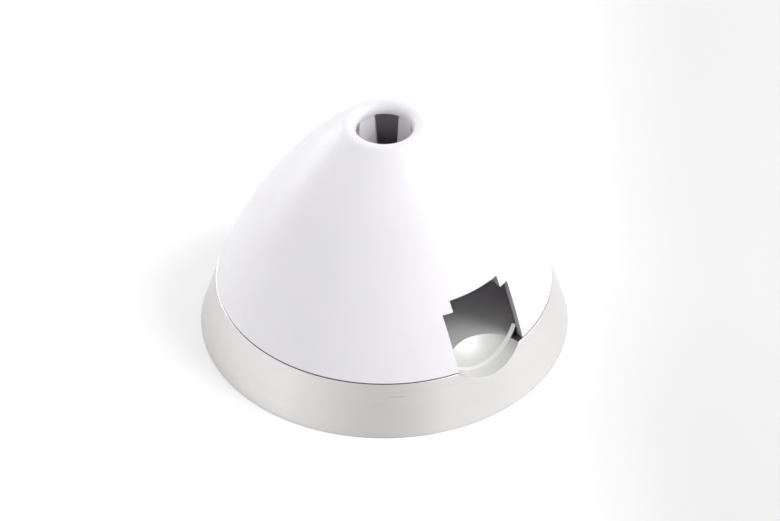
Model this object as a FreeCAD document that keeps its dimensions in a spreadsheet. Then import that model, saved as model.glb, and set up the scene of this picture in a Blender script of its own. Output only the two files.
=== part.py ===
# Two-blade propeller spinner, 38 mm, with a nose air inlet.
# +Z runs forward along the shaft, the origin is the centre of the rear face, and the blade axis is X.
import FreeCAD, Part
import math
import os
import Sketcher

doc = FreeCAD.newDocument("spinner")

# Driving dimensions, in millimetres and degrees.
sizeList = [
    ("rim_radius", 19.0),              # rear edge of the aluminium rim
    ("rim_front_radius", 17.3),        # front edge of the rim, where the cap takes over
    ("rim_height", 5.65),              # rear face to the joint with the cap
    ("rim_edge_break", 0.05),          # chamfer on the rim's two outer edges
    ("ledge_radius", 14.9),            # opening behind the pressed-in plate
    ("ledge_height", 2.9),             # shoulder that the plate is pressed against
    ("joint_land", 1.05),              # flat joint outside the thin register that centres the cap
    ("spigot_wall", 0.5),
    ("spigot_rise", 1.1),
    ("spigot_lead", 0.15),             # lead-in chamfer of the register
    ("scallop_radius", 6.0),           # ball-nose cut that clears a blade root
    ("scallop_centre_radius", 17.1),
    ("scallop_centre_height", 10.15),
    ("blade_count", 2),
    ("boss_radius", 6.4),              # hub boss behind the plate
    ("taper_rear_radius", 4.3),        # collet seat, rear and front
    ("taper_front_radius", 3.15),
    ("taper_height", 4.6),
    ("vent_inner_radius", 8.6),        # cooling vents beside the blade axis
    ("vent_outer_radius", 13.2),
    ("vent_half_angle", 32.0),
    ("vent_count", 2),
    ("stud_radius", 3.0),              # M6 collet stud
    ("stud_gap", 1.3),                 # free space between the stud and the cap's screw seat
    ("stud_chamfer", 0.4),
    ("collet_recess", 0.3),            # collet's rear end, in from the rear face
    ("shaft_radius", 1.6),             # motor shaft bore
    ("bore_web", 1.4),                 # metal left between the shaft bore and the tapped hole
    ("slit_width", 0.5),
    ("slit_depth", 4.4),
    ("slit_count", 4),
    ("washer_radius", 6.0),
    ("washer_thickness", 1.0),
    ("washer_clearance", 0.2),
    ("nut_across_flats", 10.0),
    ("nut_height", 5.0),
    ("nut_chamfer_angle", 30.0),
    ("cap_fit", 0.05),                 # cap bore over the register
    ("cap_wall", 0.65),
    ("cap_edge_break", 0.12),
    ("ogive_radius", 48.6),            # outline of the cap
    ("ogive_base_angle", 19.6),        # its slope at the joint, from the axis
    ("cap_turn", 1.5),                 # how far round the cap sits on its register
    ("inlet_radius", 2.85),            # nose air inlet
    ("lip_radius", 0.95),              # rounded lip of the inlet
    ("cage_wall", 0.9),
    ("seat_height", 16.0),             # seat for the cap screw's head
    ("seat_thickness", 1.5),
    ("window_top", 24.3),
    ("window_bottom", 17.4),
    ("window_top_width", 2.5),
    ("window_bottom_width", 1.75),
    ("window_count", 4),
    ("window_offset_angle", 45.0),     # first window from the blade axis
    ("opening_width", 8.5),            # blade opening in the cap
    ("opening_top", 11.55),
    ("notch_width", 6.2),              # narrower step over the opening
    ("notch_top", 12.65),
    ("screw_radius", 1.5),             # M3 socket screw
    ("screw_length", 6.0),
    ("screw_clearance", 0.15),
    ("screw_head_radius", 2.75),
    ("screw_head_height", 3.0),
    ("screw_head_chamfer", 0.25),
    ("socket_across_flats", 2.5),
    ("socket_depth", 1.4),
    ("tapped_clearance", 1.3),         # tapped hole past the screw's end
    ("cut_overrun", 0.1),              # how far a cutting outline passes the face it opens
]

sheet = doc.addObject("Spreadsheet::Sheet", "sizes")
for row, (alias, number) in enumerate(sizeList, start=1):
    sheet.set("A%d" % row, alias)
    sheet.set("B%d" % row, str(number))
    sheet.setAlias("B%d" % row, alias)
doc.recompute()

# Sizes that follow from others.
registerRadius = "(sizes.rim_front_radius - sizes.joint_land)"
registerBore = "(%s - sizes.spigot_wall)" % registerRadius
seatUnder = "(sizes.seat_height - sizes.seat_thickness)"
screwEnd = "(sizes.seat_height - sizes.screw_length)"
studTop = "(%s - sizes.stud_gap)" % seatUnder
tappedEnd = "(%s - sizes.tapped_clearance)" % screwEnd
shaftEnd = "(%s - sizes.bore_web)" % tappedEnd
nutBottom = "(sizes.rim_height + sizes.washer_thickness)"
nutTop = "(%s + sizes.nut_height)" % nutBottom
headTop = "(sizes.seat_height + sizes.screw_head_height)"


def addBody(label):
    body = doc.addObject("PartDesign::Body", label)
    body.Label = label
    return body


def originFeature(body, role):
    return [item for item in body.Origin.OriginFeatures if item.Role == role][0]


def addSketch(body, role, name):
    sketch = body.newObject("Sketcher::SketchObject", name)
    sketch.AttachmentSupport = [(originFeature(body, role), "")]
    sketch.MapMode = "FlatFace"
    return sketch


def valueOf(item, expression):
    return float(item.evalExpression(expression))


def bind(sketch, constraint, expression):
    """Adds a dimension whose value follows an expression of the sheet's sizes."""
    index = sketch.addConstraint(constraint)
    sketch.setExpression("Constraints[%d]" % index, expression)


def bindPoint(sketch, edge, end, across=None, up=None):
    if across is not None:
        start = valueOf(sketch, across)
        bind(sketch, Sketcher.Constraint("DistanceX", -1, 1, edge, end, start), across)
    if up is not None:
        start = valueOf(sketch, up)
        bind(sketch, Sketcher.Constraint("DistanceY", -1, 1, edge, end, start), up)


def drawOutline(sketch, corners):
    """Closed outline of straight edges through corners given as pairs of expressions."""
    points = [FreeCAD.Vector(valueOf(sketch, a), valueOf(sketch, b), 0) for a, b in corners]
    first = sketch.GeometryCount
    total = len(points)
    for number, point in enumerate(points):
        sketch.addGeometry(Part.LineSegment(point, points[(number + 1) % total]), False)
    for number in range(total):
        following = first + (number + 1) % total
        sketch.addConstraint(Sketcher.Constraint("Coincident", first + number, 2, following, 1))
    for number, (across, up) in enumerate(corners):
        bindPoint(sketch, first + number, 1, across, up)


def revolve(body, sketch, name):
    feature = body.newObject("PartDesign::Revolution", name)
    feature.Profile = sketch
    feature.ReferenceAxis = (sketch, ["V_Axis"])
    feature.Angle = 360.0
    return feature


def pocket(body, sketch, name, lengthExpression=None, reverse=False):
    """Cuts a sketch through everything, or as deep as an expression says."""
    feature = body.newObject("PartDesign::Pocket", name)
    feature.Profile = sketch
    feature.Reversed = reverse
    if lengthExpression is None:
        feature.Type = "ThroughAll"
    else:
        feature.Type = "Length"
        feature.setExpression("Length", lengthExpression)
    return feature


def polarPattern(body, original, name, countExpression):
    pattern = body.newObject("PartDesign::PolarPattern", name)
    pattern.Originals = [original]
    pattern.Axis = (originFeature(body, "Z_Axis"), [""])
    pattern.Angle = 360.0
    pattern.setExpression("Occurrences", countExpression)
    body.Tip = pattern
    return pattern


def circleEdges(shape, radius, height):
    """Names of the circular edges round Z with this radius and height."""
    names = []
    for number, edge in enumerate(shape.Edges, start=1):
        curve = edge.Curve
        if not isinstance(curve, Part.Circle) or abs(curve.Radius - radius) > 1e-4:
            continue
        if math.hypot(curve.Center.x, curve.Center.y) < 1e-4 and abs(curve.Center.z - height) < 1e-4:
            names.append("Edge%d" % number)
    return names


def breakEdges(body, base, name, places, sizeExpression):
    """Chamfers the round edges of base that stand at the given (radius, height) places."""
    doc.recompute()
    names = []
    for radius, height in places:
        names += circleEdges(base.Shape, valueOf(base, radius), valueOf(base, height))
    chamfer = body.newObject("PartDesign::Chamfer", name)
    chamfer.Base = (base, names)
    chamfer.setExpression("Size", sizeExpression)
    return chamfer


def cutScallops(body, name):
    """Ball-nose cuts on the blade axis, which let the blade roots swing back past the rim."""
    ball = body.newObject("PartDesign::SubtractiveSphere", name)
    ball.AttachmentSupport = [(originFeature(body, "XY_Plane"), "")]
    ball.MapMode = "FlatFace"
    ball.setExpression("Radius", "sizes.scallop_radius")
    ball.setExpression("AttachmentOffset.Base.x", "sizes.scallop_centre_radius")
    ball.setExpression("AttachmentOffset.Base.z", "sizes.scallop_centre_height")
    return polarPattern(body, ball, name + "_pattern", "sizes.blade_count")


def makeRimRing():
    """Turned rim: cone outside, shoulder for the plate inside, and the register in front."""
    body = addBody("rim_ring")
    profile = addSketch(body, "XZ_Plane", "rim_profile")
    drawOutline(profile, [
        ("sizes.ledge_radius", "0"),
        ("sizes.rim_radius", "0"),
        ("sizes.rim_front_radius", "sizes.rim_height"),
        (registerRadius, "sizes.rim_height"),
        (registerRadius, "sizes.rim_height + sizes.spigot_rise - sizes.spigot_lead"),
        (registerRadius + " - sizes.spigot_lead", "sizes.rim_height + sizes.spigot_rise"),
        (registerBore, "sizes.rim_height + sizes.spigot_rise"),
        (registerBore, "sizes.ledge_height"),
        ("sizes.ledge_radius", "sizes.ledge_height"),
    ])
    turned = revolve(body, profile, "rim_turned")
    breakEdges(body, turned, "rim_edge_break", [
        ("sizes.rim_radius", "0"),
        ("sizes.rim_front_radius", "sizes.rim_height"),
    ], "sizes.rim_edge_break")
    cutScallops(body, "rim_scallop")
    return body


def makeHubPlate():
    """Plate pressed into the rim, with a tapered collet seat, vents and its share of the scallops."""
    body = addBody("hub_plate")
    profile = addSketch(body, "XZ_Plane", "plate_profile")
    drawOutline(profile, [
        ("sizes.taper_rear_radius", "0"),
        ("sizes.boss_radius", "0"),
        ("sizes.boss_radius", "sizes.ledge_height"),
        (registerBore, "sizes.ledge_height"),
        (registerBore, "sizes.rim_height"),
        ("sizes.taper_front_radius", "sizes.rim_height"),
        ("sizes.taper_front_radius", "sizes.taper_height"),
    ])
    revolve(body, profile, "plate_turned")
    cutScallops(body, "plate_scallop")

    vent = addSketch(body, "XY_Plane", "vent_outline")
    inner = valueOf(vent, "sizes.vent_inner_radius")
    outer = valueOf(vent, "sizes.vent_outer_radius")
    half = math.radians(valueOf(vent, "sizes.vent_half_angle"))
    middle = math.radians(90)
    mean = (inner + outer) / 2
    nose = (outer - inner) / 2
    up = FreeCAD.Vector(0, 0, 1)
    centre = FreeCAD.Vector(0, 0, 0)
    rightEnd = FreeCAD.Vector(mean * math.sin(half), mean * math.cos(half), 0)
    leftEnd = FreeCAD.Vector(-rightEnd.x, rightEnd.y, 0)
    low = middle - half
    high = middle + half
    vent.addGeometry(Part.ArcOfCircle(Part.Circle(centre, up, outer), low, high), False)
    vent.addGeometry(Part.ArcOfCircle(Part.Circle(leftEnd, up, nose), high, high + math.pi), False)
    vent.addGeometry(Part.ArcOfCircle(Part.Circle(centre, up, inner), low, high), False)
    vent.addGeometry(Part.ArcOfCircle(Part.Circle(rightEnd, up, nose), low - math.pi, low), False)
    vent.addConstraint(Sketcher.Constraint("Coincident", 0, 3, -1, 1))
    vent.addConstraint(Sketcher.Constraint("Coincident", 2, 3, -1, 1))
    vent.addConstraint(Sketcher.Constraint("Tangent", 0, 2, 1, 1))
    vent.addConstraint(Sketcher.Constraint("Tangent", 1, 2, 2, 2))
    vent.addConstraint(Sketcher.Constraint("Tangent", 2, 1, 3, 1))
    vent.addConstraint(Sketcher.Constraint("Tangent", 3, 2, 0, 1))
    bind(vent, Sketcher.Constraint("Radius", 0, outer), "sizes.vent_outer_radius")
    bind(vent, Sketcher.Constraint("Radius", 2, inner), "sizes.vent_inner_radius")
    meanRadius = "(sizes.vent_inner_radius + sizes.vent_outer_radius) / 2"
    bindPoint(vent, 3, 3, meanRadius + " * sin(sizes.vent_half_angle * 1deg)")
    bindPoint(vent, 1, 3, "-" + meanRadius + " * sin(sizes.vent_half_angle * 1deg)")
    cut = pocket(body, vent, "vent", "sizes.rim_height + sizes.cut_overrun", reverse=True)
    polarPattern(body, cut, "vents", "sizes.vent_count")
    return body


def makeColletStud():
    """Slit collet with an M6 stud in front; the stud's front end is tapped for the cap screw."""
    body = addBody("collet_stud")
    profile = addSketch(body, "XZ_Plane", "stud_profile")
    slope = "(sizes.taper_rear_radius - sizes.taper_front_radius) / sizes.taper_height"
    drawOutline(profile, [
        ("sizes.shaft_radius", "sizes.collet_recess"),
        ("sizes.taper_rear_radius - sizes.collet_recess * " + slope, "sizes.collet_recess"),
        ("sizes.taper_front_radius", "sizes.taper_height"),
        ("sizes.stud_radius", "sizes.taper_height"),
        ("sizes.stud_radius", studTop + " - sizes.stud_chamfer"),
        ("sizes.stud_radius - sizes.stud_chamfer", studTop),
        ("sizes.screw_radius", studTop),
        ("sizes.screw_radius", tappedEnd),
        ("0", tappedEnd),
        ("0", shaftEnd),
        ("sizes.shaft_radius", shaftEnd),
    ])
    revolve(body, profile, "stud_turned")

    slit = addSketch(body, "XZ_Plane", "slit_outline")
    drawOutline(slit, [
        ("-sizes.slit_width / 2", "0"),
        ("sizes.slit_width / 2", "0"),
        ("sizes.slit_width / 2", "sizes.slit_depth"),
        ("-sizes.slit_width / 2", "sizes.slit_depth"),
    ])
    first = pocket(body, slit, "slit", "sizes.taper_rear_radius")
    polarPattern(body, first, "slits", "sizes.slit_count")
    return body


def makeWasher():
    body = addBody("clamp_washer")
    ring = addSketch(body, "XZ_Plane", "washer_profile")
    drawOutline(ring, [
        ("sizes.stud_radius + sizes.washer_clearance", "sizes.rim_height"),
        ("sizes.washer_radius", "sizes.rim_height"),
        ("sizes.washer_radius", "sizes.rim_height + sizes.washer_thickness"),
        ("sizes.stud_radius + sizes.washer_clearance", "sizes.rim_height + sizes.washer_thickness"),
    ])
    revolve(body, ring, "washer_ring")
    return body


def hexagonCorners(acrossFlats):
    """Corners of a hexagon with two flats square to X."""
    half = acrossFlats + " / 2"
    long = acrossFlats + " / 2 / cos(30deg)"
    short = acrossFlats + " / 2 * tan(30deg)"
    return [
        (half, "-" + short),
        (half, short),
        ("0", long),
        ("-" + half, short),
        ("-" + half, "-" + short),
        ("0", "-" + long),
    ]


def makeNut():
    """Hexagon nut whose corners are turned off at both faces."""
    body = addBody("clamp_nut")
    hexagon = addSketch(body, "XY_Plane", "nut_hexagon")
    hexagon.setExpression("AttachmentOffset.Base.z", nutBottom)
    drawOutline(hexagon, hexagonCorners("sizes.nut_across_flats"))
    radius = valueOf(hexagon, "sizes.stud_radius")
    circle = Part.Circle(FreeCAD.Vector(0, 0, 0), FreeCAD.Vector(0, 0, 1), radius)
    bore = hexagon.addGeometry(circle, False)
    hexagon.addConstraint(Sketcher.Constraint("Coincident", bore, 3, -1, 1))
    bind(hexagon, Sketcher.Constraint("Radius", bore, radius), "sizes.stud_radius")
    pad = body.newObject("PartDesign::Pad", "nut_blank")
    pad.Profile = hexagon
    pad.setExpression("Length", "sizes.nut_height")

    flat = "sizes.nut_across_flats / 2"
    corner = "sizes.nut_across_flats / 2 / cos(30deg)"
    beyond = corner + " + sizes.cut_overrun"
    drop = "(%s - %s) * tan(sizes.nut_chamfer_angle * 1deg)" % (corner, flat)
    for name, face, sign in (("upper", nutTop, "-"), ("lower", nutBottom, "+")):
        wedge = addSketch(body, "XZ_Plane", "nut_%s_wedge" % name)
        drawOutline(wedge, [
            (flat, face),
            (beyond, face),
            (beyond, "%s %s %s" % (face, sign, drop)),
            (corner, "%s %s %s" % (face, sign, drop)),
        ])
        turned = body.newObject("PartDesign::Groove", "nut_%s_chamfer" % name)
        turned.Profile = wedge
        turned.ReferenceAxis = (wedge, ["V_Axis"])
        turned.Angle = 360.0
    return body


def makeCapScrew():
    body = addBody("cap_screw")
    profile = addSketch(body, "XZ_Plane", "screw_profile")
    drawOutline(profile, [
        ("0", screwEnd),
        ("sizes.screw_radius", screwEnd),
        ("sizes.screw_radius", "sizes.seat_height"),
        ("sizes.screw_head_radius", "sizes.seat_height"),
        ("sizes.screw_head_radius", headTop + " - sizes.screw_head_chamfer"),
        ("sizes.screw_head_radius - sizes.screw_head_chamfer", headTop),
        ("0", headTop),
    ])
    revolve(body, profile, "screw_turned")
    socket = addSketch(body, "XY_Plane", "socket_outline")
    socket.setExpression("AttachmentOffset.Base.z", headTop)
    drawOutline(socket, hexagonCorners("sizes.socket_across_flats"))
    pocket(body, socket, "socket", "sizes.socket_depth")
    return body


def drawCapProfile(sketch):
    """Half section of the cap: base, ogive, inlet lip, cage with its seat, inner ogive and bore."""
    get = lambda expression: valueOf(sketch, expression)
    centreAcross = "sizes.rim_front_radius - sizes.ogive_radius * cos(sizes.ogive_base_angle * 1deg)"
    centreUp = "sizes.rim_height - sizes.ogive_radius * sin(sizes.ogive_base_angle * 1deg)"
    capBore = registerRadius + " + sizes.cap_fit"
    cageOuter = "sizes.inlet_radius + sizes.cage_wall"
    screwHole = "sizes.screw_radius + sizes.screw_clearance"
    innerRadius = "sizes.ogive_radius - sizes.cap_wall"
    baseEdge = "sizes.rim_front_radius - sizes.cap_edge_break"
    centre = FreeCAD.Vector(get(centreAcross), get(centreUp), 0)
    outer = get("sizes.ogive_radius")
    inner = get(innerRadius)
    lip = get("sizes.lip_radius")
    joint = get("sizes.rim_height")
    up = FreeCAD.Vector(0, 0, 1)

    def onInner(across):
        return centre.y + math.sqrt(inner ** 2 - (across - centre.x) ** 2)

    lipAcross = get("sizes.inlet_radius") + lip
    lipUp = centre.y + math.sqrt((outer - lip) ** 2 - (lipAcross - centre.x) ** 2)
    lipAngle = math.atan2(lipUp - centre.y, lipAcross - centre.x)
    edgeBreak = get("sizes.cap_edge_break")
    baseAngle = math.asin((joint + edgeBreak - centre.y) / outer)
    crownUp = onInner(get(cageOuter))
    shoulderUp = onInner(get(capBore))
    crownAngle = math.atan2(crownUp - centre.y, get(cageOuter) - centre.x)
    shoulderAngle = math.atan2(shoulderUp - centre.y, get(capBore) - centre.x)

    def line(x1, y1, x2, y2):
        start = FreeCAD.Vector(x1, y1, 0)
        end = FreeCAD.Vector(x2, y2, 0)
        return sketch.addGeometry(Part.LineSegment(start, end), False)

    seat = get("sizes.seat_height")
    under = get(seatUnder)
    base = line(get(capBore), joint, get(baseEdge), joint)
    slopeTop = centre.x + outer * math.cos(baseAngle)
    slope = line(get(baseEdge), joint, slopeTop, joint + edgeBreak)
    ogive = sketch.addGeometry(
        Part.ArcOfCircle(Part.Circle(centre, up, outer), baseAngle, lipAngle), False)
    lipCentre = FreeCAD.Vector(lipAcross, lipUp, 0)
    lipArc = sketch.addGeometry(
        Part.ArcOfCircle(Part.Circle(lipCentre, up, lip), lipAngle, math.pi), False)
    throat = line(get("sizes.inlet_radius"), lipUp, get("sizes.inlet_radius"), seat)
    seatTop = line(get("sizes.inlet_radius"), seat, get(screwHole), seat)
    hole = line(get(screwHole), seat, get(screwHole), under)
    seatBottom = line(get(screwHole), under, get(cageOuter), under)
    cage = line(get(cageOuter), under, get(cageOuter), crownUp)
    innerArc = sketch.addGeometry(
        Part.ArcOfCircle(Part.Circle(centre, up, inner), shoulderAngle, crownAngle), False)
    bore = line(get(capBore), shoulderUp, get(capBore), joint)

    join = lambda a, i, b, j: sketch.addConstraint(Sketcher.Constraint("Coincident", a, i, b, j))
    join(base, 2, slope, 1)
    join(slope, 2, ogive, 1)
    sketch.addConstraint(Sketcher.Constraint("Tangent", ogive, 2, lipArc, 1))
    sketch.addConstraint(Sketcher.Constraint("Tangent", lipArc, 2, throat, 1))
    join(throat, 2, seatTop, 1)
    join(seatTop, 2, hole, 1)
    join(hole, 2, seatBottom, 1)
    join(seatBottom, 2, cage, 1)
    join(cage, 2, innerArc, 2)
    join(innerArc, 1, bore, 1)
    join(bore, 2, base, 1)
    join(ogive, 3, innerArc, 3)
    for edge in (throat, hole, cage, bore):
        sketch.addConstraint(Sketcher.Constraint("Vertical", edge))
    bindPoint(sketch, base, 1, capBore, "sizes.rim_height")
    bindPoint(sketch, base, 2, baseEdge, "sizes.rim_height")
    bindPoint(sketch, slope, 2, None, "sizes.rim_height + sizes.cap_edge_break")
    bindPoint(sketch, ogive, 3, centreAcross, centreUp)
    bind(sketch, Sketcher.Constraint("Radius", ogive, outer), "sizes.ogive_radius")
    bind(sketch, Sketcher.Constraint("Radius", lipArc, lip), "sizes.lip_radius")
    bind(sketch, Sketcher.Constraint("Radius", innerArc, inner), innerRadius)
    bindPoint(sketch, throat, 2, "sizes.inlet_radius", "sizes.seat_height")
    bindPoint(sketch, hole, 1, screwHole, "sizes.seat_height")
    bindPoint(sketch, hole, 2, None, seatUnder)
    bindPoint(sketch, cage, 1, cageOuter, seatUnder)


def makeCap():
    """Moulded cap: ogive shell, inlet lip, slotted cage with the screw seat, two blade openings."""
    body = addBody("spinner_cap")
    profile = addSketch(body, "XZ_Plane", "cap_profile")
    drawCapProfile(profile)
    revolve(body, profile, "cap_shell")

    window = addSketch(body, "XZ_Plane", "window_outline")
    window.AttachmentOffset = FreeCAD.Placement(FreeCAD.Vector(0, 0, 0), FreeCAD.Vector(0, 1, 0), 1)
    window.setExpression("AttachmentOffset.Rotation.Angle", "sizes.window_offset_angle * 1deg")
    drawOutline(window, [
        ("-sizes.window_bottom_width / 2", "sizes.window_bottom"),
        ("sizes.window_bottom_width / 2", "sizes.window_bottom"),
        ("sizes.window_top_width / 2", "sizes.window_top"),
        ("-sizes.window_top_width / 2", "sizes.window_top"),
    ])
    windowDepth = "sizes.inlet_radius + sizes.cage_wall + sizes.cut_overrun"
    cut = pocket(body, window, "window", windowDepth)
    polarPattern(body, cut, "windows", "sizes.window_count")

    opening = addSketch(body, "YZ_Plane", "blade_opening_outline")
    wide = "sizes.opening_width / 2"
    narrow = "sizes.notch_width / 2"
    bottom = "sizes.rim_height - sizes.cut_overrun"
    drawOutline(opening, [
        ("-" + wide, bottom),
        (wide, bottom),
        (wide, "sizes.opening_top"),
        (narrow, "sizes.opening_top"),
        (narrow, "sizes.notch_top"),
        ("-" + narrow, "sizes.notch_top"),
        ("-" + narrow, "sizes.opening_top"),
        ("-" + wide, "sizes.opening_top"),
    ])
    slot = pocket(body, opening, "blade_opening")
    polarPattern(body, slot, "blade_openings", "sizes.blade_count")
    body.Placement = FreeCAD.Placement(FreeCAD.Vector(0, 0, 0), FreeCAD.Vector(0, 0, 1), 1)
    body.setExpression("Placement.Rotation.Angle", "sizes.cap_turn * 1deg")
    return body


bodies = [
    makeRimRing(),
    makeHubPlate(),
    makeColletStud(),
    makeWasher(),
    makeNut(),
    makeCap(),
    makeCapScrew(),
]
doc.recompute()

failed = [item.Name for item in doc.Objects if "Invalid" in item.State or "Error" in item.State]
if failed:
    raise RuntimeError("failed objects: %s" % failed)
for body in bodies:
    if body.Shape.isNull() or not body.Shape.isValid() or len(body.Shape.Solids) != 1:
        raise RuntimeError("bad shape: %s" % body.Label)

os.makedirs("parts", exist_ok=True)
for body in bodies:
    body.Shape.exportStep("parts/%s.step" % body.Label)
    box = body.Shape.BoundBox
    print("%-14s volume %8.2f mm3, z %6.2f to %6.2f, reach %6.2f" % (
        body.Label, body.Shape.Volume, box.ZMin, box.ZMax, box.XMax))
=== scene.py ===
import bpy
import math
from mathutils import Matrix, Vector


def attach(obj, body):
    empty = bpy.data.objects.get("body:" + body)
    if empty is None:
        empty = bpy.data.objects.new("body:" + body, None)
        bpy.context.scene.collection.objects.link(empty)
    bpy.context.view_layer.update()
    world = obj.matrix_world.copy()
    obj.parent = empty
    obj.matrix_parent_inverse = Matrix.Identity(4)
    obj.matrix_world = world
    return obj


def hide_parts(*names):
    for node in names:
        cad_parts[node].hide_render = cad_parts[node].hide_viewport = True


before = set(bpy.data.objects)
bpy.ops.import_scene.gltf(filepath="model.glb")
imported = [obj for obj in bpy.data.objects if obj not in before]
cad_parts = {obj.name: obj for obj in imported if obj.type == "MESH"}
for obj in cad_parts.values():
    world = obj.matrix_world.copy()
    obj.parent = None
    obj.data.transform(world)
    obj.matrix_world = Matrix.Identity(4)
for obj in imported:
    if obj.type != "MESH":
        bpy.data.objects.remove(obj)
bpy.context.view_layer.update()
nodes = {o.name: o for o in bpy.data.objects if o.type == "MESH"}
print("loaded", sorted(nodes))


toCamera = (0.784, -0.620, 0)   # over the floor, from the object
toRight = (0.620, 0.784, 0)

cameraSizes = {
    "place": (0.27318, -0.21613, 0.29427),
    "aim": (0.00036, 0.00045, 0.00750),
    "lens": 202.9,
}
cameraData = bpy.data.cameras.new("camera")
camera = bpy.data.objects.new("camera", cameraData)
bpy.context.scene.collection.objects.link(camera)
camera.location = cameraSizes["place"]
sight = Vector(cameraSizes["aim"]) - Vector(cameraSizes["place"])
camera.rotation_mode = "QUATERNION"
camera.rotation_quaternion = sight.to_track_quat("-Z", "Y")
cameraData.sensor_width = 36
cameraData.lens = cameraSizes["lens"]
cameraData.clip_start = 0.01
cameraData.clip_end = 20
bpy.context.scene.camera = camera


def newGroup(name, inputs, outputs):
    group = bpy.data.node_groups.new(name, "ShaderNodeTree")
    for socketName, kind, value in inputs:
        made = group.interface.new_socket(socketName, in_out="INPUT", socket_type=kind)
        made.default_value = value
    for socketName, kind in outputs:
        group.interface.new_socket(socketName, in_out="OUTPUT", socket_type=kind)
    return group, group.nodes.new("NodeGroupInput"), group.nodes.new("NodeGroupOutput")


def put(tree, kind, place=(0, 0), **settings):
    node = tree.nodes.new(kind)
    node.location = place
    for name, value in settings.items():
        setattr(node, name, value)
    return node


def calc(tree, operation, a, b=None, clamp=False):
    node = put(tree, "ShaderNodeMath", operation=operation, use_clamp=clamp)
    for socket, value in zip(node.inputs, (a, b)):
        if value is None:
            continue
        if isinstance(value, (int, float)):
            socket.default_value = value
        else:
            tree.links.new(value, socket)
    return node.outputs[0]


def splitPlace(tree, vector):
    # the three coordinates of a place and its distance from the shaft axis
    parts = put(tree, "ShaderNodeSeparateXYZ")
    tree.links.new(vector, parts.inputs[0])
    squares = [calc(tree, "MULTIPLY", parts.outputs[n], parts.outputs[n]) for n in (0, 1)]
    return parts, calc(tree, "SQRT", calc(tree, "ADD", *squares))



# fine drifting blotches, used for colour and gloss variation
def makeMottle():
    group, given, out = newGroup("mottle", [
        ("Vector", "NodeSocketVector", (0, 0, 0)),
        ("Size", "NodeSocketFloat", 200.0),
        ("Low", "NodeSocketFloat", 0.4),
        ("High", "NodeSocketFloat", 0.6),
    ], [("Mask", "NodeSocketFloat")])
    noise = put(group, "ShaderNodeTexNoise")
    noise.inputs["Detail"].default_value = 4
    noise.inputs["Roughness"].default_value = 0.55
    group.links.new(given.outputs["Vector"], noise.inputs["Vector"])
    group.links.new(given.outputs["Size"], noise.inputs["Scale"])
    spread = put(group, "ShaderNodeMapRange")
    spread.interpolation_type = "SMOOTHSTEP"
    group.links.new(noise.outputs["Fac"], spread.inputs["Value"])
    group.links.new(given.outputs["Low"], spread.inputs["From Min"])
    group.links.new(given.outputs["High"], spread.inputs["From Max"])
    group.links.new(spread.outputs["Result"], out.inputs["Mask"])
    return group


# concentric tool marks round the shaft axis: rings on a face, hoops on a cone
def makeTurning():
    group, given, out = newGroup("turning", [
        ("Vector", "NodeSocketVector", (0, 0, 0)),
        ("Pitch", "NodeSocketFloat", 9000.0),
    ], [("Height", "NodeSocketFloat"), ("Bands", "NodeSocketFloat")])
    parts, across = splitPlace(group, given.outputs["Vector"])
    angle = calc(group, "ARCTAN2", parts.outputs[1], parts.outputs[0])
    ring = put(group, "ShaderNodeCombineXYZ")
    group.links.new(calc(group, "MULTIPLY", across, given.outputs["Pitch"]), ring.inputs[0])
    group.links.new(calc(group, "MULTIPLY", parts.outputs[2], given.outputs["Pitch"]), ring.inputs[1])
    group.links.new(calc(group, "MULTIPLY", calc(group, "ABSOLUTE", angle), 0.9), ring.inputs[2])
    marks = put(group, "ShaderNodeTexNoise")
    marks.inputs["Scale"].default_value = 1.0
    marks.inputs["Detail"].default_value = 3
    marks.inputs["Roughness"].default_value = 0.7
    group.links.new(ring.outputs[0], marks.inputs["Vector"])
    group.links.new(marks.outputs["Fac"], out.inputs["Height"])
    slow = put(group, "ShaderNodeVectorMath", operation="SCALE")
    group.links.new(ring.outputs[0], slow.inputs[0])
    slow.inputs["Scale"].default_value = 0.12
    bands = put(group, "ShaderNodeTexNoise")
    bands.inputs["Scale"].default_value = 1.0
    bands.inputs["Detail"].default_value = 2
    group.links.new(slow.outputs[0], bands.inputs["Vector"])
    group.links.new(bands.outputs["Fac"], out.inputs["Bands"])
    return group


# a few thin stray scratches
def makeScratches():
    group, given, out = newGroup("scratches", [
        ("Vector", "NodeSocketVector", (0, 0, 0)),
        ("Size", "NodeSocketFloat", 90.0),
        ("Thin", "NodeSocketFloat", 0.012),
        ("Rare", "NodeSocketFloat", 0.62),
    ], [("Mask", "NodeSocketFloat")])
    warp = put(group, "ShaderNodeTexNoise")
    warp.inputs["Scale"].default_value = 60
    group.links.new(given.outputs["Vector"], warp.inputs["Vector"])
    shift = put(group, "ShaderNodeVectorMath", operation="MULTIPLY_ADD")
    group.links.new(warp.outputs["Color"], shift.inputs[0])
    shift.inputs[1].default_value = (0.004, 0.004, 0.004)
    group.links.new(given.outputs["Vector"], shift.inputs[2])
    cells = put(group, "ShaderNodeTexVoronoi", feature="DISTANCE_TO_EDGE")
    group.links.new(shift.outputs[0], cells.inputs["Vector"])
    group.links.new(given.outputs["Size"], cells.inputs["Scale"])
    line = calc(group, "LESS_THAN", cells.outputs["Distance"], given.outputs["Thin"])
    where = put(group, "ShaderNodeTexNoise")
    where.inputs["Scale"].default_value = 140
    where.inputs["Detail"].default_value = 1
    group.links.new(given.outputs["Vector"], where.inputs["Vector"])
    some = calc(group, "GREATER_THAN", where.outputs["Fac"], given.outputs["Rare"])
    group.links.new(calc(group, "MULTIPLY", line, some), out.inputs["Mask"])
    return group


# mask of the two ball-nose cuts, with the rings the tool left in them and painted shade on their walls
scallopSizes = {
    "centre": (0.0171, 0, 0.01015), "ball": 0.006, "skin": 0.00004,
    "flankShadeFrom": 0.0024, "flankShadeTo": 0.0042,
}


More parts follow.
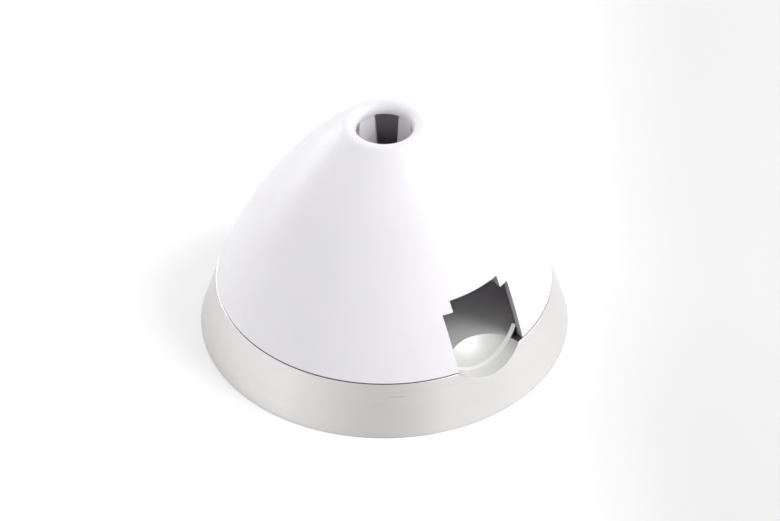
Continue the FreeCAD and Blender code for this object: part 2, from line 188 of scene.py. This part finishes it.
def makeMilled():
    group, given, out = newGroup("milled", [
        ("Vector", "NodeSocketVector", (0, 0, 0)),
        ("Ball", "NodeSocketFloat", scallopSizes["ball"]),
        ("Pitch", "NodeSocketFloat", 16000.0),
    ], [("Mask", "NodeSocketFloat"), ("Height", "NodeSocketFloat"), ("FlankShade", "NodeSocketFloat")])
    folded = put(group, "ShaderNodeVectorMath", operation="ABSOLUTE")
    group.links.new(given.outputs["Vector"], folded.inputs[0])
    apart = put(group, "ShaderNodeVectorMath", operation="SUBTRACT")
    group.links.new(folded.outputs[0], apart.inputs[0])
    apart.inputs[1].default_value = scallopSizes["centre"]
    far = put(group, "ShaderNodeVectorMath", operation="LENGTH")
    group.links.new(apart.outputs[0], far.inputs[0])
    off = calc(group, "ABSOLUTE", calc(group, "SUBTRACT", far.outputs["Value"], given.outputs["Ball"]))
    near = calc(group, "LESS_THAN", off, scallopSizes["skin"])
    group.links.new(near, out.inputs["Mask"])
    parts = put(group, "ShaderNodeSeparateXYZ")
    group.links.new(apart.outputs[0], parts.inputs[0])
    rings = put(group, "ShaderNodeTexNoise")
    rings.inputs["Scale"].default_value = 1.0
    rings.inputs["Detail"].default_value = 2
    along = put(group, "ShaderNodeCombineXYZ")
    group.links.new(calc(group, "MULTIPLY", parts.outputs[2], given.outputs["Pitch"]), along.inputs[0])
    group.links.new(along.outputs[0], rings.inputs["Vector"])
    group.links.new(rings.outputs["Fac"], out.inputs["Height"])
    wallShadeRamp = put(group, "ShaderNodeMapRange", interpolation_type="SMOOTHSTEP")   # painted shade, darker towards the two walls
    wallShadeRamp.inputs["From Min"].default_value = scallopSizes["flankShadeFrom"]
    wallShadeRamp.inputs["From Max"].default_value = scallopSizes["flankShadeTo"]
    group.links.new(parts.outputs[1], wallShadeRamp.inputs["Value"])
    group.links.new(calc(group, "MULTIPLY", wallShadeRamp.outputs["Result"], near), out.inputs["FlankShade"])
    return group


# 1 on the outside of the cap, its lip and the inlet's wall, 0 on the inner side of the shell
shellSizes = {
    "ogive": 0.0486, "centreOut": 0.02848, "centreDown": 0.01065,   # the ogive's arc and its centre
    "skin": 0.00004, "wall": 0.00061, "inlet": 0.0031, "lip": 0.0243,
}


def makeOuterSkin():
    group, given, out = newGroup("outerSkin", [
        ("Vector", "NodeSocketVector", (0, 0, 0)),
        ("Ogive", "NodeSocketFloat", shellSizes["ogive"]),
        ("Inlet", "NodeSocketFloat", shellSizes["inlet"]),
    ], [("Mask", "NodeSocketFloat"), ("Wall", "NodeSocketFloat")])
    parts, across = splitPlace(group, given.outputs["Vector"])
    side = calc(group, "ADD", across, shellSizes["centreOut"])
    rise = calc(group, "ADD", parts.outputs[2], shellSizes["centreDown"])
    far = calc(group, "SQRT", calc(
        group, "ADD", calc(group, "MULTIPLY", side, side), calc(group, "MULTIPLY", rise, rise)))
    outside, wall = [
        calc(group, "GREATER_THAN", far, calc(group, "SUBTRACT", given.outputs["Ogive"], shellSizes[depth]))
        for depth in ("skin", "wall")]
    group.links.new(wall, out.inputs["Wall"])
    inlet = calc(group, "LESS_THAN", across, given.outputs["Inlet"])
    lip = calc(group, "GREATER_THAN", parts.outputs[2], shellSizes["lip"])
    group.links.new(calc(group, "MAXIMUM", outside, calc(group, "MAXIMUM", inlet, lip)), out.inputs["Mask"])
    return group


# one mark or band of painted shade that runs round the shaft axis, between two angles at one height
def makeHoopMark():
    group, given, out = newGroup("hoopMark", [
        ("Vector", "NodeSocketVector", (0, 0, 0)),
        ("Start", "NodeSocketFloat", -0.67),
        ("End", "NodeSocketFloat", -0.54),
        ("Up", "NodeSocketFloat", 0.0043),
        ("Breadth", "NodeSocketFloat", 0.0001),
    ], [("Mask", "NodeSocketFloat")])
    parts = put(group, "ShaderNodeSeparateXYZ")
    group.links.new(given.outputs["Vector"], parts.inputs[0])
    angle = calc(group, "ARCTAN2", parts.outputs[1], parts.outputs[0])
    middle = calc(group, "MULTIPLY", calc(group, "ADD", given.outputs["Start"], given.outputs["End"]), 0.5)
    reach = calc(group, "MULTIPLY", calc(group, "SUBTRACT", given.outputs["End"], given.outputs["Start"]), 0.5)
    along = calc(group, "DIVIDE", calc(group, "ABSOLUTE", calc(group, "SUBTRACT", angle, middle)), reach)
    rough = put(group, "ShaderNodeTexNoise")
    rough.inputs["Scale"].default_value = 1500
    group.links.new(given.outputs["Vector"], rough.inputs["Vector"])
    sway = calc(group, "MULTIPLY", calc(group, "SUBTRACT", rough.outputs["Fac"], 0.5), 0.0002)
    height = calc(group, "ADD", calc(group, "SUBTRACT", parts.outputs[2], given.outputs["Up"]), sway)
    off = calc(group, "DIVIDE", calc(group, "ABSOLUTE", height), given.outputs["Breadth"])
    mark = calc(group, "SUBTRACT", 1.0, calc(group, "ADD", calc(group, "POWER", along, 2.0), off), clamp=True)
    group.links.new(mark, out.inputs["Mask"])
    return group


# on the rim: a painted highlight on the register where the ball-nose cut crosses it, and painted shade on the land
# under the cap
def makeLandLightShade():
    group, given, out = newGroup("landLightShade", [
        ("Vector", "NodeSocketVector", (0, 0, 0)),
        ("Register", "NodeSocketFloat", 0.01620),
        ("Bore", "NodeSocketFloat", 0.01576),
        ("Land", "NodeSocketFloat", 0.00563),
    ], [("RegisterHighlight", "NodeSocketFloat"), ("LandShade", "NodeSocketFloat")])
    parts, across = splitPlace(group, given.outputs["Vector"])
    beyond = calc(group, "GREATER_THAN", across, given.outputs["Register"])
    outside = calc(group, "GREATER_THAN", across, given.outputs["Bore"])
    above = calc(group, "GREATER_THAN", parts.outputs[2], given.outputs["Land"])
    within = calc(group, "LESS_THAN", across, given.outputs["Register"])
    group.links.new(calc(group, "MULTIPLY", outside, within), out.inputs["RegisterHighlight"])
    group.links.new(calc(group, "MULTIPLY", beyond, above), out.inputs["LandShade"])
    return group


# 1 on the wall of the nose inlet
def makeInletWall():
    group, given, out = newGroup("inletWall", [
        ("Vector", "NodeSocketVector", (0, 0, 0)),
        ("Radius", "NodeSocketFloat", 0.0029),
        ("Top", "NodeSocketFloat", 0.0240),
    ], [("Mask", "NodeSocketFloat")])
    parts, across = splitPlace(group, given.outputs["Vector"])
    near = calc(group, "LESS_THAN", across, given.outputs["Radius"])
    below = calc(group, "LESS_THAN", parts.outputs[2], given.outputs["Top"])
    group.links.new(calc(group, "MULTIPLY", near, below), out.inputs["Mask"])
    return group


# 1 along the corners of a solid, where handling rubs the finish, and a painted highlight on the edge
def makeEdgeWearGlint():
    group, given, out = newGroup("edgeWearGlint", [
        ("Vector", "NodeSocketVector", (0, 0, 0)),
        ("Breadth", "NodeSocketFloat", 0.00008),
        ("Patchy", "NodeSocketFloat", 0.35),
    ], [("Mask", "NodeSocketFloat")])
    rounded = put(group, "ShaderNodeBevel", samples=6)
    group.links.new(given.outputs["Breadth"], rounded.inputs["Radius"])
    flat = put(group, "ShaderNodeNewGeometry")
    same = put(group, "ShaderNodeVectorMath", operation="DOT_PRODUCT")
    group.links.new(rounded.outputs[0], same.inputs[0])
    group.links.new(flat.outputs["True Normal"], same.inputs[1])
    bent = put(group, "ShaderNodeMapRange")
    bent.inputs["From Min"].default_value = 0.995
    bent.inputs["From Max"].default_value = 0.85
    group.links.new(same.outputs["Value"], bent.inputs["Value"])
    chance = put(group, "ShaderNodeTexNoise")
    chance.inputs["Scale"].default_value = 420
    chance.inputs["Detail"].default_value = 3
    group.links.new(given.outputs["Vector"], chance.inputs["Vector"])
    patches = put(group, "ShaderNodeMapRange")
    patches.inputs["From Max"].default_value = 0.7
    group.links.new(chance.outputs["Fac"], patches.inputs["Value"])
    group.links.new(given.outputs["Patchy"], patches.inputs["From Min"])
    group.links.new(calc(group, "MULTIPLY", bent.outputs["Result"], patches.outputs["Result"]), out.inputs["Mask"])
    return group


# painted shade: 1 in corners and narrow gaps, where little light gets in, broken by a fine speckle
def makeCornerShade():
    group, given, out = newGroup("cornerShade", [
        ("Vector", "NodeSocketVector", (0, 0, 0)),
        ("Reach", "NodeSocketFloat", 0.001),
        ("Least", "NodeSocketFloat", 0.25),
        ("Most", "NodeSocketFloat", 0.75),
    ], [("Mask", "NodeSocketFloat")])
    shelter = put(group, "ShaderNodeAmbientOcclusion", samples=6)
    group.links.new(given.outputs["Reach"], shelter.inputs["Distance"])
    speckle = put(group, "ShaderNodeTexNoise")
    speckle.inputs["Scale"].default_value = 900
    speckle.inputs["Detail"].default_value = 3
    group.links.new(given.outputs["Vector"], speckle.inputs["Vector"])
    closed = calc(group, "SUBTRACT", 1.0, shelter.outputs["AO"])
    uneven = calc(group, "MULTIPLY", calc(group, "SUBTRACT", speckle.outputs["Fac"], 0.5), 0.35)
    spread = put(group, "ShaderNodeMapRange")
    group.links.new(calc(group, "ADD", closed, uneven), spread.inputs["Value"])
    group.links.new(given.outputs["Least"], spread.inputs["From Min"])
    group.links.new(given.outputs["Most"], spread.inputs["From Max"])
    group.links.new(spread.outputs["Result"], out.inputs["Mask"])
    return group


mottle = makeMottle()
hoopMark = makeHoopMark()
landLightShade = makeLandLightShade()
inletWall = makeInletWall()
edgeWearGlint = makeEdgeWearGlint()
cornerShade = makeCornerShade()
outerSkin = makeOuterSkin()
milled = makeMilled()
turning = makeTurning()
scratches = makeScratches()
print("shader groups made")


def newMaterial(name):
    material = bpy.data.materials.new(name)
    material.use_nodes = True
    tree = material.node_tree
    shader = tree.nodes["Principled BSDF"]
    coords = put(tree, "ShaderNodeTexCoord", (-900, 0))
    return material, tree, shader, coords.outputs["Object"]


def useGroup(tree, group, vector, **values):
    node = put(tree, "ShaderNodeGroup")
    node.node_tree = group
    tree.links.new(vector, node.inputs["Vector"])
    for name, value in values.items():
        node.inputs[name].default_value = value
    return node


def mixColours(tree, factor, first, second):
    node = put(tree, "ShaderNodeMix", data_type="RGBA")
    tree.links.new(factor, node.inputs[0])
    for socket, value in ((node.inputs[6], first), (node.inputs[7], second)):
        if isinstance(value, tuple):
            socket.default_value = value
        else:
            tree.links.new(value, socket)
    return node.outputs[2]


def mixValues(tree, factor, first, second):
    node = put(tree, "ShaderNodeMix", data_type="FLOAT")
    tree.links.new(factor, node.inputs[0])
    for socket, value in ((node.inputs[2], first), (node.inputs[3], second)):
        if isinstance(value, float):
            socket.default_value = value
        else:
            tree.links.new(value, socket)
    return node.outputs[0]


def spreadTo(tree, value, low, high):
    node = put(tree, "ShaderNodeMapRange")
    node.inputs["To Min"].default_value = low
    node.inputs["To Max"].default_value = high
    tree.links.new(value, node.inputs["Value"])
    return node.outputs["Result"]


def bumpFrom(tree, shader, height, strength, distance):
    bump = put(tree, "ShaderNodeBump")
    bump.inputs["Strength"].default_value = strength
    bump.inputs["Distance"].default_value = distance
    tree.links.new(height, bump.inputs["Height"])
    tree.links.new(bump.outputs["Normal"], shader.inputs["Normal"])


capLook = {
    "shell": ((0.815, 0.80, 0.84, 1), (0.83, 0.815, 0.85, 1)),   # outside
    # painted shade: the inner side of the shell much darker than its outside
    "inside": ((0.21, 0.185, 0.235, 1), (0.26, 0.235, 0.29, 1)),
    "wall": (0.46, 0.44, 0.48, 1),   # painted shade: the cut faces of the blade openings greyer than the shell
    "cage": (0.95, 0.93, 0.97, 1),   # painted light: the cage and the inlet's wall paler than the shell
    "cageFrom": 0.013, "cageTo": 0.019,
    "foot": (0.42, 0.41, 0.43, 1), "footTop": 0.00578,
    # nick is the scratches' colour; the near-black is painted shade for corners and gaps
    "nick": (0.66, 0.65, 0.67, 1), "capCornerShade": (0.10, 0.095, 0.10, 1),
}


def capPlastic():
    look = capLook
    material, tree, shader, vector = newMaterial("capPlastic")
    shader.inputs["IOR"].default_value = 1.48
    cloud = useGroup(tree, mottle, vector, Size=150.0, Low=0.35, High=0.65)
    colour = mixColours(tree, cloud.outputs[0], *look["shell"])
    nicks = useGroup(tree, scratches, vector, Size=70.0, Thin=0.003, Rare=0.80)
    colour = mixColours(tree, nicks.outputs[0], colour, look["nick"])
    skin = useGroup(tree, outerSkin, vector)
    # painted shade on the inner side of the shell
    inner = mixColours(tree, cloud.outputs[0], *look["inside"])
    height = put(tree, "ShaderNodeSeparateXYZ")
    tree.links.new(vector, height.inputs[0])
    # painted light: the inside turns pale towards the nose
    crown = put(tree, "ShaderNodeMapRange")
    crown.inputs["From Min"].default_value = look["cageFrom"]
    crown.inputs["From Max"].default_value = look["cageTo"]
    tree.links.new(height.outputs[2], crown.inputs["Value"])
    inner = mixColours(tree, crown.outputs["Result"], inner, look["cage"])
    # painted light: the inlet's wall paler than the outside
    throat = useGroup(tree, inletWall, vector)
    colour = mixColours(tree, throat.outputs[0], colour, look["cage"])
    # painted shade: greyer cut faces
    inner = mixColours(tree, skin.outputs["Wall"], inner, look["wall"])
    colour = mixColours(tree, skin.outputs["Mask"], inner, colour)
    foot = calc(tree, "LESS_THAN", height.outputs[2], look["footTop"])
    colour = mixColours(tree, foot, colour, look["foot"])
    # painted shade: near-black in the cap's corners and narrow gaps
    capCornerShade = useGroup(tree, cornerShade, vector, Reach=0.0009, Least=0.45, Most=0.85)
    colour = mixColours(tree, capCornerShade.outputs[0], colour, look["capCornerShade"])
    tree.links.new(colour, shader.inputs["Base Color"])
    sheen = useGroup(tree, mottle, vector, Size=900.0, Low=0.3, High=0.7)
    tree.links.new(spreadTo(tree, sheen.outputs[0], 0.30, 0.40), shader.inputs["Roughness"])
    grain = put(tree, "ShaderNodeTexNoise")
    grain.inputs["Scale"].default_value = 2600
    grain.inputs["Detail"].default_value = 3
    tree.links.new(vector, grain.inputs["Vector"])
    bumpFrom(tree, shader, grain.outputs["Fac"], 0.06, 0.0002)
    return material


def turnedAluminium(name, look, marksAndShadeAt=()):
    material, tree, shader, vector = newMaterial(name)
    marks = useGroup(tree, turning, vector, Pitch=look["pitch"])
    colour = mixColours(tree, marks.outputs["Bands"], look["dark"], look["pale"])
    nicks = useGroup(tree, scratches, vector, Size=120.0, Thin=0.0025, Rare=0.84)
    colour = mixColours(tree, nicks.outputs[0], colour, (0.42, 0.41, 0.42, 1))
    cut = useGroup(tree, milled, vector)
    colour = mixColours(tree, cut.outputs["Mask"], colour, look["fresh"])
    # painted shade on the scallop's walls
    colour = mixColours(tree, cut.outputs["FlankShade"], colour, look["flankShade"])
    landLightMasks = useGroup(tree, landLightShade, vector)
    # painted highlight on the register
    colour = mixColours(tree, landLightMasks.outputs["RegisterHighlight"], colour, look["registerHighlight"])
    for start, end, up, breadth, shade in marksAndShadeAt:
        mark = useGroup(tree, hoopMark, vector, Start=start, End=end, Up=up, Breadth=breadth)
        colour = mixColours(tree, mark.outputs[0], colour, shade)
    # paler edges: rubbed finish and a painted highlight
    rubbedGlint = useGroup(tree, edgeWearGlint, vector)
    colour = mixColours(tree, rubbedGlint.outputs[0], colour, (0.93, 0.925, 0.92, 1))
    # painted shade on the land under the cap and at the joint
    colour = mixColours(tree, landLightMasks.outputs["LandShade"], colour, (0.24, 0.23, 0.23, 1))
    # painted shade: near-black in corners and gaps
    metalCornerShade = useGroup(tree, cornerShade, vector, Reach=0.0011, Least=0.40, Most=0.80)
    colour = mixColours(tree, metalCornerShade.outputs[0], colour, (0.055, 0.05, 0.05, 1))
    tree.links.new(colour, shader.inputs["Base Color"])
    tree.links.new(mixValues(tree, cut.outputs["Mask"], look["metal"], 0.35), shader.inputs["Metallic"])
    rough = spreadTo(tree, marks.outputs["Bands"], *look["rough"])
    tree.links.new(mixValues(tree, cut.outputs["Mask"], rough, look["milledRough"]), shader.inputs["Roughness"])
    height = mixValues(tree, cut.outputs["Mask"], marks.outputs["Height"], cut.outputs["Height"])
    bumpFrom(tree, shader, height, 0.25, 0.00003)
    return material


def steel(name, pale, dark, roughLow, roughHigh):
    material, tree, shader, vector = newMaterial(name)
    shader.inputs["Metallic"].default_value = 1.0
    cloud = useGroup(tree, mottle, vector, Size=3600.0, Low=0.1, High=0.9)
    tree.links.new(mixColours(tree, cloud.outputs[0], dark, pale), shader.inputs["Base Color"])
    tree.links.new(spreadTo(tree, cloud.outputs[0], roughLow, roughHigh), shader.inputs["Roughness"])
    grain = put(tree, "ShaderNodeTexNoise")
    grain.inputs["Scale"].default_value = 5000
    tree.links.new(vector, grain.inputs["Vector"])
    bumpFrom(tree, shader, grain.outputs["Fac"], 0.12, 0.00004)
    return material


ringLook = {
    "pale": (0.86, 0.845, 0.835, 1), "dark": (0.79, 0.775, 0.765, 1),   # turned face
    "fresh": (0.86, 0.855, 0.84, 1), "flankShade": (0.58, 0.575, 0.565, 1),   # milled scallop, and painted shade on its far wall
    "registerHighlight": (0.97, 0.965, 0.95, 1),   # painted highlight on the register where the scallop crosses it
    "metal": 1.0, "rough": (0.30, 0.42), "milledRough": 0.60, "pitch": 9000.0,
}
plateLook = {
    "pale": (0.92, 0.91, 0.90, 1), "dark": (0.84, 0.83, 0.83, 1),
    "fresh": (0.80, 0.80, 0.78, 1), "flankShade": (0.50, 0.50, 0.48, 1),
    "registerHighlight": (0.80, 0.80, 0.78, 1),
    "metal": 0.6, "rough": (0.60, 0.68), "milledRough": 0.50, "pitch": 7000.0,
}
ringMarksAndShade = [   # start and end angle, height, breadth, colour
    (-1.26, -0.32, 0.0030, 0.030, (0.68, 0.66, 0.645, 1)),   # painted shade on the ring's front, towards the camera
    (-0.676, -0.536, 0.00436, 0.00008, (0.50, 0.48, 0.46, 1)),
    (-0.755, -0.660, 0.00352, 0.00005, (0.60, 0.58, 0.56, 1)),
    (-0.822, -0.796, 0.00183, 0.00006, (0.55, 0.53, 0.51, 1)),
]
finishes = {
    "spinner_cap": capPlastic(),
    "rim_ring": turnedAluminium("ringAluminium", ringLook, ringMarksAndShade),
    "hub_plate": turnedAluminium("plateAluminium", plateLook),
    "collet_stud": steel("colletSteel", (0.60, 0.59, 0.58, 1), (0.48, 0.47, 0.47, 1), 0.24, 0.36),
    "clamp_washer": steel("washerZinc", (0.68, 0.68, 0.67, 1), (0.56, 0.56, 0.56, 1), 0.30, 0.42),
    "clamp_nut": steel("nutZinc", (0.66, 0.66, 0.65, 1), (0.54, 0.54, 0.54, 1), 0.28, 0.40),
    "cap_screw": steel("screwBlack", (0.09, 0.09, 0.095, 1), (0.05, 0.05, 0.055, 1), 0.30, 0.45),
}
for name, material in finishes.items():
    node = nodes[name]
    node.data.materials.clear()
    node.data.materials.append(material)
print("materials given")


def pick(piece):
    bpy.ops.object.select_all(action="DESELECT")
    piece.select_set(True)
    bpy.context.view_layer.objects.active = piece


def startEdit(piece):
    pick(piece)
    bpy.ops.object.mode_set(mode="EDIT")
    bpy.ops.mesh.select_mode(type="VERT")


def selectWhere(piece, test):
    # picks vertices by their place, from edit mode
    bpy.ops.mesh.select_all(action="DESELECT")
    bpy.ops.object.mode_set(mode="OBJECT")
    for vertex in piece.data.vertices:
        vertex.select = test(vertex.co)
    bpy.ops.object.mode_set(mode="EDIT")


def addRound(name, radius, low, high, sides):
    bpy.ops.object.select_all(action="DESELECT")
    bpy.ops.mesh.primitive_cylinder_add(
        vertices=sides, radius=radius, depth=high - low, location=(0, 0, (low + high) / 2))
    piece = bpy.context.object
    piece.name = name
    pick(piece)
    bpy.ops.object.transform_apply(location=True, rotation=True, scale=True)   # its place goes into its mesh
    return piece


def carve(piece, cutter):
    pick(piece)
    step = piece.modifiers.new("carve", "BOOLEAN")
    step.operation = "DIFFERENCE"
    step.solver = "EXACT"
    step.object = cutter
    bpy.ops.object.modifier_apply(modifier=step.name)
    bpy.data.objects.remove(cutter, do_unlink=True)


def finishPiece(piece, material, node, angle=35):
    piece.data.materials.clear()
    piece.data.materials.append(material)
    pick(piece)
    bpy.ops.object.shade_smooth_by_angle(angle=math.radians(angle))
    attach(piece, "root")
    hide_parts(node)


# M3 socket screw that holds the cap, seen down the inlet
screwSizes = {
    "seat": 0.016, "end": 0.010, "shank": 0.0015, "tip": 0.0012, "tipLength": 0.0005,
    "headRadius": 0.00275, "headHeight": 0.003, "chamfer": 0.0003, "chamferShare": 0.89,
    "knurls": 36, "knurlDepth": 0.955, "grooveFrom": 0.4, "grooveTo": 0.9,   # the groove's share of one knurl
    "socketFlats": 0.0025, "socketDepth": 0.0014, "overrun": 0.001,
}


def growFace(piece, radius, height, share, up):
    # draws the end face of a radius out along the axis, narrowed to a share of its width
    level = (max if up else min)(v.co.z for v in piece.data.vertices)
    startEdit(piece)
    selectWhere(piece, lambda co: abs(co.z - level) < 0.00001 and math.hypot(co.x, co.y) < radius * 1.01)
    bpy.ops.mesh.select_mode(type="FACE")
    bpy.ops.mesh.extrude_region_move(TRANSFORM_OT_translate={"value": (0, 0, height if up else -height)})
    bpy.ops.transform.resize(value=(share, share, 1), center_override=(0, 0, level))
    bpy.ops.object.mode_set(mode="OBJECT")


def makeSocketScrew():
    size = screwSizes
    top = size["seat"] + size["headHeight"]
    head, shank, tip = size["headRadius"], size["shank"], size["tipLength"]
    piece = addRound("socketScrew", head, size["seat"], top - size["chamfer"], size["knurls"] * 4)
    growFace(piece, head, size["chamfer"], size["chamferShare"], True)
    growFace(piece, head, 0, shank / head, False)
    growFace(piece, shank, size["seat"] - size["end"] - tip, 1, False)
    growFace(piece, shank, tip, size["tip"] / shank, False)
    hexagon = addRound("socketCut", size["socketFlats"] / math.sqrt(3),
                       top - size["socketDepth"], top + size["overrun"], 6)
    carve(piece, hexagon)
    step = 2 * math.pi / size["knurls"]

    def groove(co):
        turn = (math.atan2(co.y, co.x) % step) / step
        return math.hypot(co.x, co.y) > head * 0.98 and size["grooveFrom"] < turn < size["grooveTo"]

    # the side of the head is drawn in between the ribs of its knurl
    startEdit(piece)
    selectWhere(piece, groove)
    draw = size["knurlDepth"]
    bpy.ops.transform.resize(value=(draw, draw, 1), center_override=(0, 0, size["seat"]))
    bpy.ops.object.mode_set(mode="OBJECT")
    return piece


socketScrew = makeSocketScrew()
finishPiece(socketScrew, finishes["cap_screw"], "cap_screw")
print("socket screw made", len(socketScrew.data.polygons))


floorSizes = {
    "width": 6.0, "height": 0.0,
    "left": (0.84, 0.84, 0.845, 1), "right": (0.75, 0.75, 0.755, 1),
    "fadeFrom": 0.005, "fadeTo": 0.035, "glow": 0.20,
}


def makeFloor():
    size = floorSizes
    bpy.ops.object.select_all(action="DESELECT")
    bpy.ops.mesh.primitive_plane_add(size=size["width"], location=(0, 0, size["height"]))
    floor = bpy.context.object
    floor.name = "floor"
    material, tree, shader, way = newMaterial("paleFloor")
    shader.inputs["Roughness"].default_value = 0.9
    shader.inputs["Specular IOR Level"].default_value = 0.1
    # the floor is white on the left and a little greyer on the right, painted shade where the light falls off
    across = put(tree, "ShaderNodeVectorMath", operation="DOT_PRODUCT")
    tree.links.new(way, across.inputs[0])
    across.inputs[1].default_value = toRight
    fade = put(tree, "ShaderNodeMapRange", interpolation_type="SMOOTHSTEP")
    fade.inputs["From Min"].default_value = size["fadeFrom"]
    fade.inputs["From Max"].default_value = size["fadeTo"]
    tree.links.new(across.outputs["Value"], fade.inputs["Value"])
    colour = mixColours(tree, fade.outputs["Result"], size["left"], size["right"])
    tree.links.new(colour, shader.inputs["Base Color"])
    rays = put(tree, "ShaderNodeLightPath")
    glow = calc(tree, "MULTIPLY", calc(tree, "SUBTRACT", 1.0, fade.outputs["Result"]), size["glow"])
    glow = calc(tree, "MULTIPLY", glow, rays.outputs["Is Camera Ray"])
    shader.inputs["Emission Color"].default_value = (1, 1, 1, 1)
    tree.links.new(glow, shader.inputs["Emission Strength"])
    floor.data.materials.append(material)


roomSizes = {
    "behind": 1.0, "cameraSide": 0.94,   # walls behind the object and on the camera's side
    "darkFrom": 0.86, "darkTo": 0.97, "dark": 0.20,   # the dark patch round the camera
    "low": 1.08, "ceiling": 0.70,
}


def makeRoom():
    size = roomSizes
    world = bpy.data.worlds.new("studio")
    bpy.context.scene.world = world
    world.use_nodes = True
    tree = world.node_tree
    background = tree.nodes["Background"]
    background.inputs["Color"].default_value = (1, 1, 1, 1)
    way = put(tree, "ShaderNodeTexCoord")
    towards = put(tree, "ShaderNodeVectorMath", operation="DOT_PRODUCT")
    tree.links.new(way.outputs["Generated"], towards.inputs[0])
    towards.inputs[1].default_value = toCamera
    room = put(tree, "ShaderNodeMapRange")
    room.inputs["From Min"].default_value = -1.0
    room.inputs["To Min"].default_value = size["behind"]
    room.inputs["To Max"].default_value = size["cameraSide"]
    tree.links.new(towards.outputs["Value"], room.inputs["Value"])
    shade = put(tree, "ShaderNodeMapRange", interpolation_type="SMOOTHSTEP")
    shade.inputs["From Min"].default_value = size["darkFrom"]
    shade.inputs["From Max"].default_value = size["darkTo"]
    shade.inputs["To Min"].default_value = 1.0
    shade.inputs["To Max"].default_value = size["dark"]
    tree.links.new(towards.outputs["Value"], shade.inputs["Value"])
    height = put(tree, "ShaderNodeSeparateXYZ")
    tree.links.new(way.outputs["Generated"], height.inputs[0])
    ceiling = put(tree, "ShaderNodeMapRange")
    ceiling.inputs["To Min"].default_value = size["low"]
    ceiling.inputs["To Max"].default_value = size["ceiling"]
    tree.links.new(height.outputs[2], ceiling.inputs["Value"])
    level = calc(tree, "MULTIPLY", room.outputs["Result"], shade.outputs["Result"])
    level = calc(tree, "MULTIPLY", level, ceiling.outputs["Result"])
    tree.links.new(level, background.inputs["Strength"])


lampSizes = {   # right of the object, towards the camera, height, width, power
    "key": (0.50, 0.12, 0.55, 0.36, 2.3),
    "side": (-0.56, -0.52, 0.15, 0.55, 1.9),
    "card": (0.54, -0.04, 0.15, 0.36, 0.7),   # under the key
}
lampAim = Vector((0, 0, 0.01))


def addLamp(name, right, near, height, width, power):
    data = bpy.data.lights.new(name, "AREA")
    data.shape = "DISK"
    data.size = width
    data.energy = power
    lamp = bpy.data.objects.new(name, data)
    bpy.context.scene.collection.objects.link(lamp)
    lamp.location = Vector(toRight) * right + Vector(toCamera) * near + Vector((0, 0, height))
    lamp.rotation_mode = "QUATERNION"
    lamp.rotation_quaternion = (lampAim - lamp.location).to_track_quat("-Z", "Y")


makeFloor()
makeRoom()
for name, sizes in lampSizes.items():
    addLamp(name, *sizes)
print("floor and light set")

bpy.context.scene.view_settings.view_transform = "Standard"
